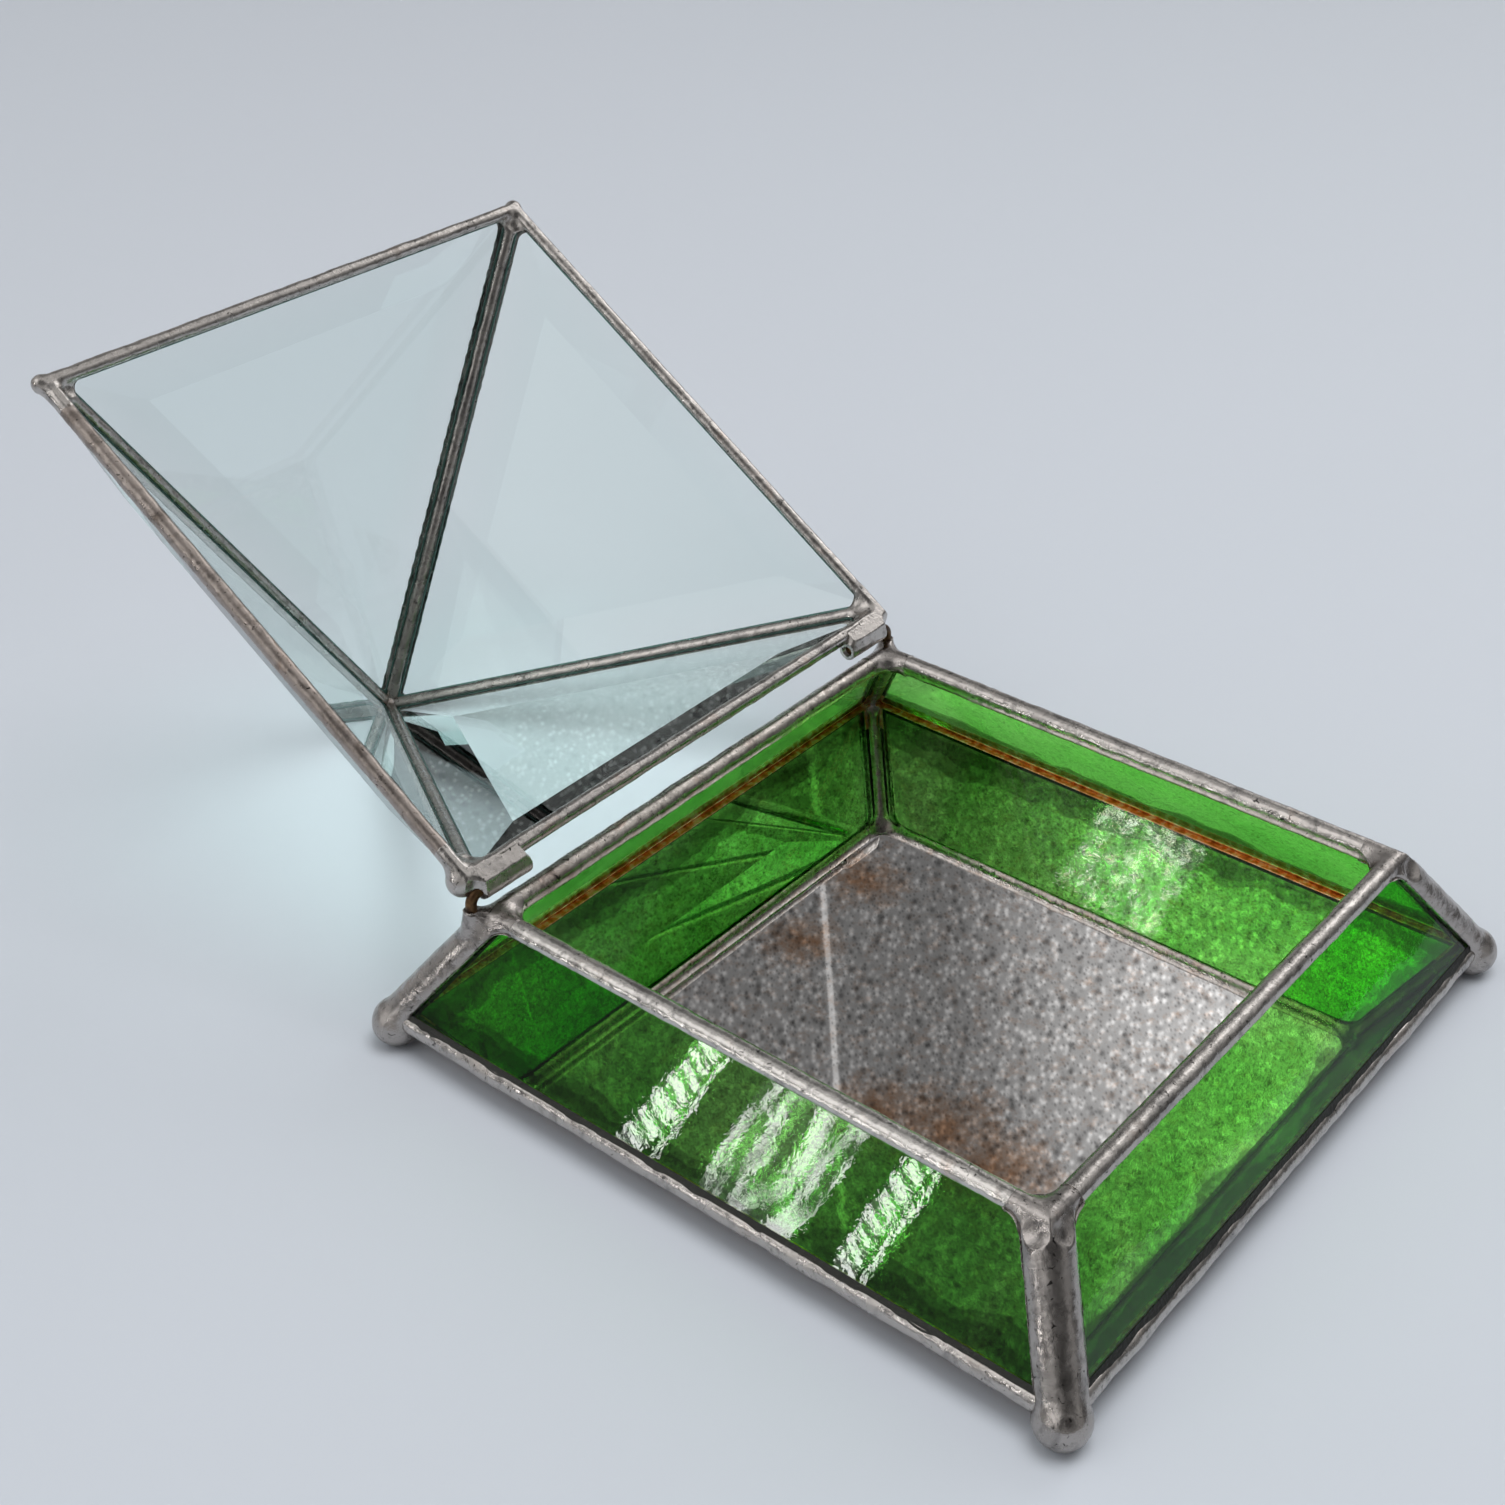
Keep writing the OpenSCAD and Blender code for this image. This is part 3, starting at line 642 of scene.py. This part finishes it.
def table_top():
    mesh = bpy.data.meshes.new("table")
    bm = bmesh.new()
    bmesh.ops.create_grid(bm, x_segments=1, y_segments=1, size=TABLE_HALF)
    bm.to_mesh(mesh)
    bm.free()
    table = bpy.data.objects.new("table", mesh)
    bpy.context.scene.collection.objects.link(table)
    cloth = Finish("pale_table", Base_Color=(0.62, 0.66, 0.72, 1), Roughness=0.6)
    cloth.shader.inputs["Specular IOR Level"].default_value = 0.3
    mesh.materials.append(cloth.material)


CEILING = Vector((0.1, -0.3, 1.6))
CEILING_AIM = Vector((0, 0, 0.02))


def ceiling_lamp():
    """One broad lamp overhead, which lights the box but isn't seen in its mirror."""
    lamp = bpy.data.lights.new("ceiling", "AREA")
    lamp.shape = "RECTANGLE"
    lamp.size, lamp.size_y = 1.0, 1.0
    lamp.energy = 12
    holder = bpy.data.objects.new("ceiling", lamp)
    bpy.context.scene.collection.objects.link(holder)
    holder.location = CEILING
    holder.visible_glossy = False
    holder.rotation_euler = (CEILING_AIM - CEILING).to_track_quat("-Z", "Y").to_euler()


PALE_BACKDROP = (0.76, 0.81, 0.87, 1)
ROOM_STRENGTH = 0.80
PAPERED_WALL = (0.48, 0.60, 0.64)
PIT_SCALE = 175.0
GLINT_SCALE, GLINT_SHIFT = 330.0, (0, 0, 0.002)
GLITTER_SCALE = 190.0
WINDOW_LIGHT = 20.0
WINDOW_MIDDLE, WINDOW_HALF = 0.24, 0.11
BLIND_HEADINGS, BLIND_HALF = (149.0, 155.6), 0.34
SLATS_UP, SLATS_LEAN, SLAT_GAP, SLAT_SHINE = 720, 420, -0.1, 0.06
BLIND_EDGE, BLIND_EDGE_HALF = 0.55, 0.05
NET_HEADING, NET_HALF = 152.4, 1.45
FOLDS_ACROSS, FOLDS_UP = 150, 22
SKYLIGHT = (155.6, 1.6, 0.436, 0.022)
DOOR_GAP, DOOR_GAP_LIGHT = (37.1, 0.10, 0.63, 0.09, -0.155), 0.4
# Each wall or bright corner of the room: its direction, where its shade starts, where it is full,
# and the light that is left there.
ROOM_WALLS = (
    ((-0.33, -0.61, 0.72), 0.66, 0.93, 0.14),
    ((-0.85, 0.48, 0.23), 0.88, 0.97, 0.32),
    ((0.62, 0.44, 0.65), 0.91, 0.98, 0.34),
    ((0.82, 0.10, 0.56), 0.932, 0.972, 4.2),
    ((0.70, -0.71, 0.05), 0.80, 0.96, 0.28),
    ((-0.62, 0.30, 0.72), 0.86, 0.96, 2.0),
)


def studio():
    """A pale room, brightest overhead, with some darker walls and narrow windows for the glass to mirror."""
    world = bpy.data.worlds.new("studio")
    bpy.context.scene.world = world
    world.use_nodes = True
    nodes, links = world.node_tree.nodes, world.node_tree.links
    direction = nodes.new("ShaderNodeTexCoord").outputs["Generated"]

    def mix(how, amount, first, second):
        node = nodes.new("ShaderNodeMix")
        node.data_type, node.blend_type = "RGBA", how
        for socket, value in ((node.inputs[0], amount), (node.inputs[6], first), (node.inputs[7], second)):
            if isinstance(value, bpy.types.NodeSocket):
                links.new(value, socket)
            else:
                socket.default_value = value
        return node.outputs[2]

    def ramp(value, stops):
        node = nodes.new("ShaderNodeValToRGB")
        links.new(value, node.inputs["Fac"])
        for point, (position, grey) in zip(node.color_ramp.elements, stops):
            point.position = position
            point.color = (grey, grey, grey, 1)
        return node.outputs["Color"]

    def shade(towards, stops):
        turn = nodes.new("ShaderNodeVectorMath")
        turn.operation = "DOT_PRODUCT"
        turn.inputs[1].default_value = Vector(towards).normalized()
        links.new(direction, turn.inputs[0])
        return ramp(turn.outputs["Value"], stops)

    def pebbles(scale, shift):
        moved = nodes.new("ShaderNodeMapping")
        moved.inputs["Location"].default_value = shift
        links.new(direction, moved.inputs["Vector"])
        cells = nodes.new("ShaderNodeTexVoronoi")
        cells.inputs["Scale"].default_value = scale
        links.new(moved.outputs["Vector"], cells.inputs["Vector"])
        return cells.outputs["Distance"]

    def calc(operation, first, second=0.0, third=0.0):
        node = nodes.new("ShaderNodeMath")
        node.operation = operation
        for socket, value in zip(node.inputs, (first, second, third)):
            if isinstance(value, bpy.types.NodeSocket):
                links.new(value, socket)
            else:
                socket.default_value = value
        return node.outputs[0]

    def slot_of_light(azimuth, half_width, middle_height, half_height, lean=0.0):
        """1 within a tall narrow patch of the room's wall, with the distance from its middle line."""
        rise = calc("SUBTRACT", height, middle_height)
        aside = calc("SUBTRACT", heading, math.radians(azimuth))
        off = calc("SUBTRACT", aside, calc("MULTIPLY", rise, lean))
        inside = calc("LESS_THAN", calc("ABSOLUTE", off), math.radians(half_width))
        return calc("MULTIPLY", inside, calc("LESS_THAN", calc("ABSOLUTE", rise), half_height)), off

    def blind(azimuth):
        """A narrow window behind slats."""
        patch, off = slot_of_light(azimuth, BLIND_HALF, WINDOW_MIDDLE, WINDOW_HALF)
        edge, _ = slot_of_light(azimuth + BLIND_EDGE, BLIND_EDGE_HALF, WINDOW_MIDDLE, WINDOW_HALF)
        slant = calc("MULTIPLY", off, SLATS_LEAN)
        slats = calc("SINE", calc("ADD", calc("MULTIPLY", height, SLATS_UP), slant))
        between = calc("GREATER_THAN", slats, SLAT_GAP)
        slatted = calc("MULTIPLY_ADD", between, 1 - SLAT_SHINE, SLAT_SHINE)
        return calc("MULTIPLY_ADD", patch, slatted, edge)

    def net_curtain(azimuth):
        """A window behind a hanging net, gathered in upright folds."""
        patch, off = slot_of_light(azimuth, NET_HALF, WINDOW_MIDDLE, WINDOW_HALF)
        along = nodes.new("ShaderNodeCombineXYZ")
        links.new(calc("MULTIPLY", off, FOLDS_ACROSS), along.inputs[0])
        links.new(calc("MULTIPLY", height, FOLDS_UP), along.inputs[1])
        folds = nodes.new("ShaderNodeTexNoise")
        folds.inputs["Scale"].default_value = 1.0
        folds.inputs["Detail"].default_value = 3.0
        links.new(along.outputs[0], folds.inputs["Vector"])
        return calc("MULTIPLY", patch, ramp(folds.outputs["Fac"], ((0.47, 0.03), (0.58, 0.85))))

    axes = nodes.new("ShaderNodeSeparateXYZ")
    links.new(direction, axes.inputs[0])
    heading = calc("ARCTAN2", axes.outputs[1], axes.outputs[0])
    height = axes.outputs[2]
    light = shade((0, 0, 1), ((0.0, 0.50), (0.95, 1.0)))
    for towards, edge, core, grey in ROOM_WALLS:
        light = mix("MULTIPLY", 1.0, light, shade(towards, ((edge, 1.0), (core, grey))))
    pits = ramp(pebbles(PIT_SCALE, (0, 0, 0)), ((0.10, 0.22), (0.38, 1.0)))
    glints = ramp(pebbles(GLINT_SCALE, GLINT_SHIFT), ((0.08, 1.85), (0.46, 0.62)))
    embossed = mix("MULTIPLY", 1.0, light, mix("MULTIPLY", 1.0, pits, glints))
    where = shade(PAPERED_WALL, ((0.66, 0.0), (0.80, 1.0)))
    sky = nodes["Background"]
    skylight, _ = slot_of_light(*SKYLIGHT)
    glitter = ramp(pebbles(GLITTER_SCALE, (0, 0, 0)), ((0.26, 3.6), (0.38, 0.1)))
    door_gap, _ = slot_of_light(*DOOR_GAP)
    first_blind, second_blind = (blind(azimuth) for azimuth in BLIND_HEADINGS)
    windows = calc("ADD", calc("ADD", first_blind, second_blind), net_curtain(NET_HEADING))
    windows = calc("MULTIPLY_ADD", skylight, glitter, windows)
    bright = calc("MULTIPLY_ADD", windows, WINDOW_LIGHT, calc("MULTIPLY", door_gap, DOOR_GAP_LIGHT))
    room = mix("ADD", 1.0, mix("MIX", where, light, embossed), bright)
    seen_directly = nodes.new("ShaderNodeLightPath").outputs["Is Camera Ray"]
    links.new(mix("MIX", seen_directly, room, PALE_BACKDROP), sky.inputs["Color"])
    sky.inputs["Strength"].default_value = ROOM_STRENGTH


def camera():
    data = bpy.data.cameras.new("camera")
    data.sensor_width = 36
    data.lens = 51.163
    data.shift_x = -0.01554
    data.shift_y = 0.03175
    data.clip_start, data.clip_end = 0.01, 20
    eye = bpy.data.objects.new("camera", data)
    bpy.context.scene.collection.objects.link(eye)
    eye.location = (-0.27218, -0.22388, 0.27082)
    eye.rotation_euler = [math.radians(angle) for angle in (55.406, -0.138, -50.971)]
    bpy.context.scene.camera = eye


table_top()
studio()
ceiling_lamp()
camera()
bpy.context.scene.view_settings.view_transform = "Standard"
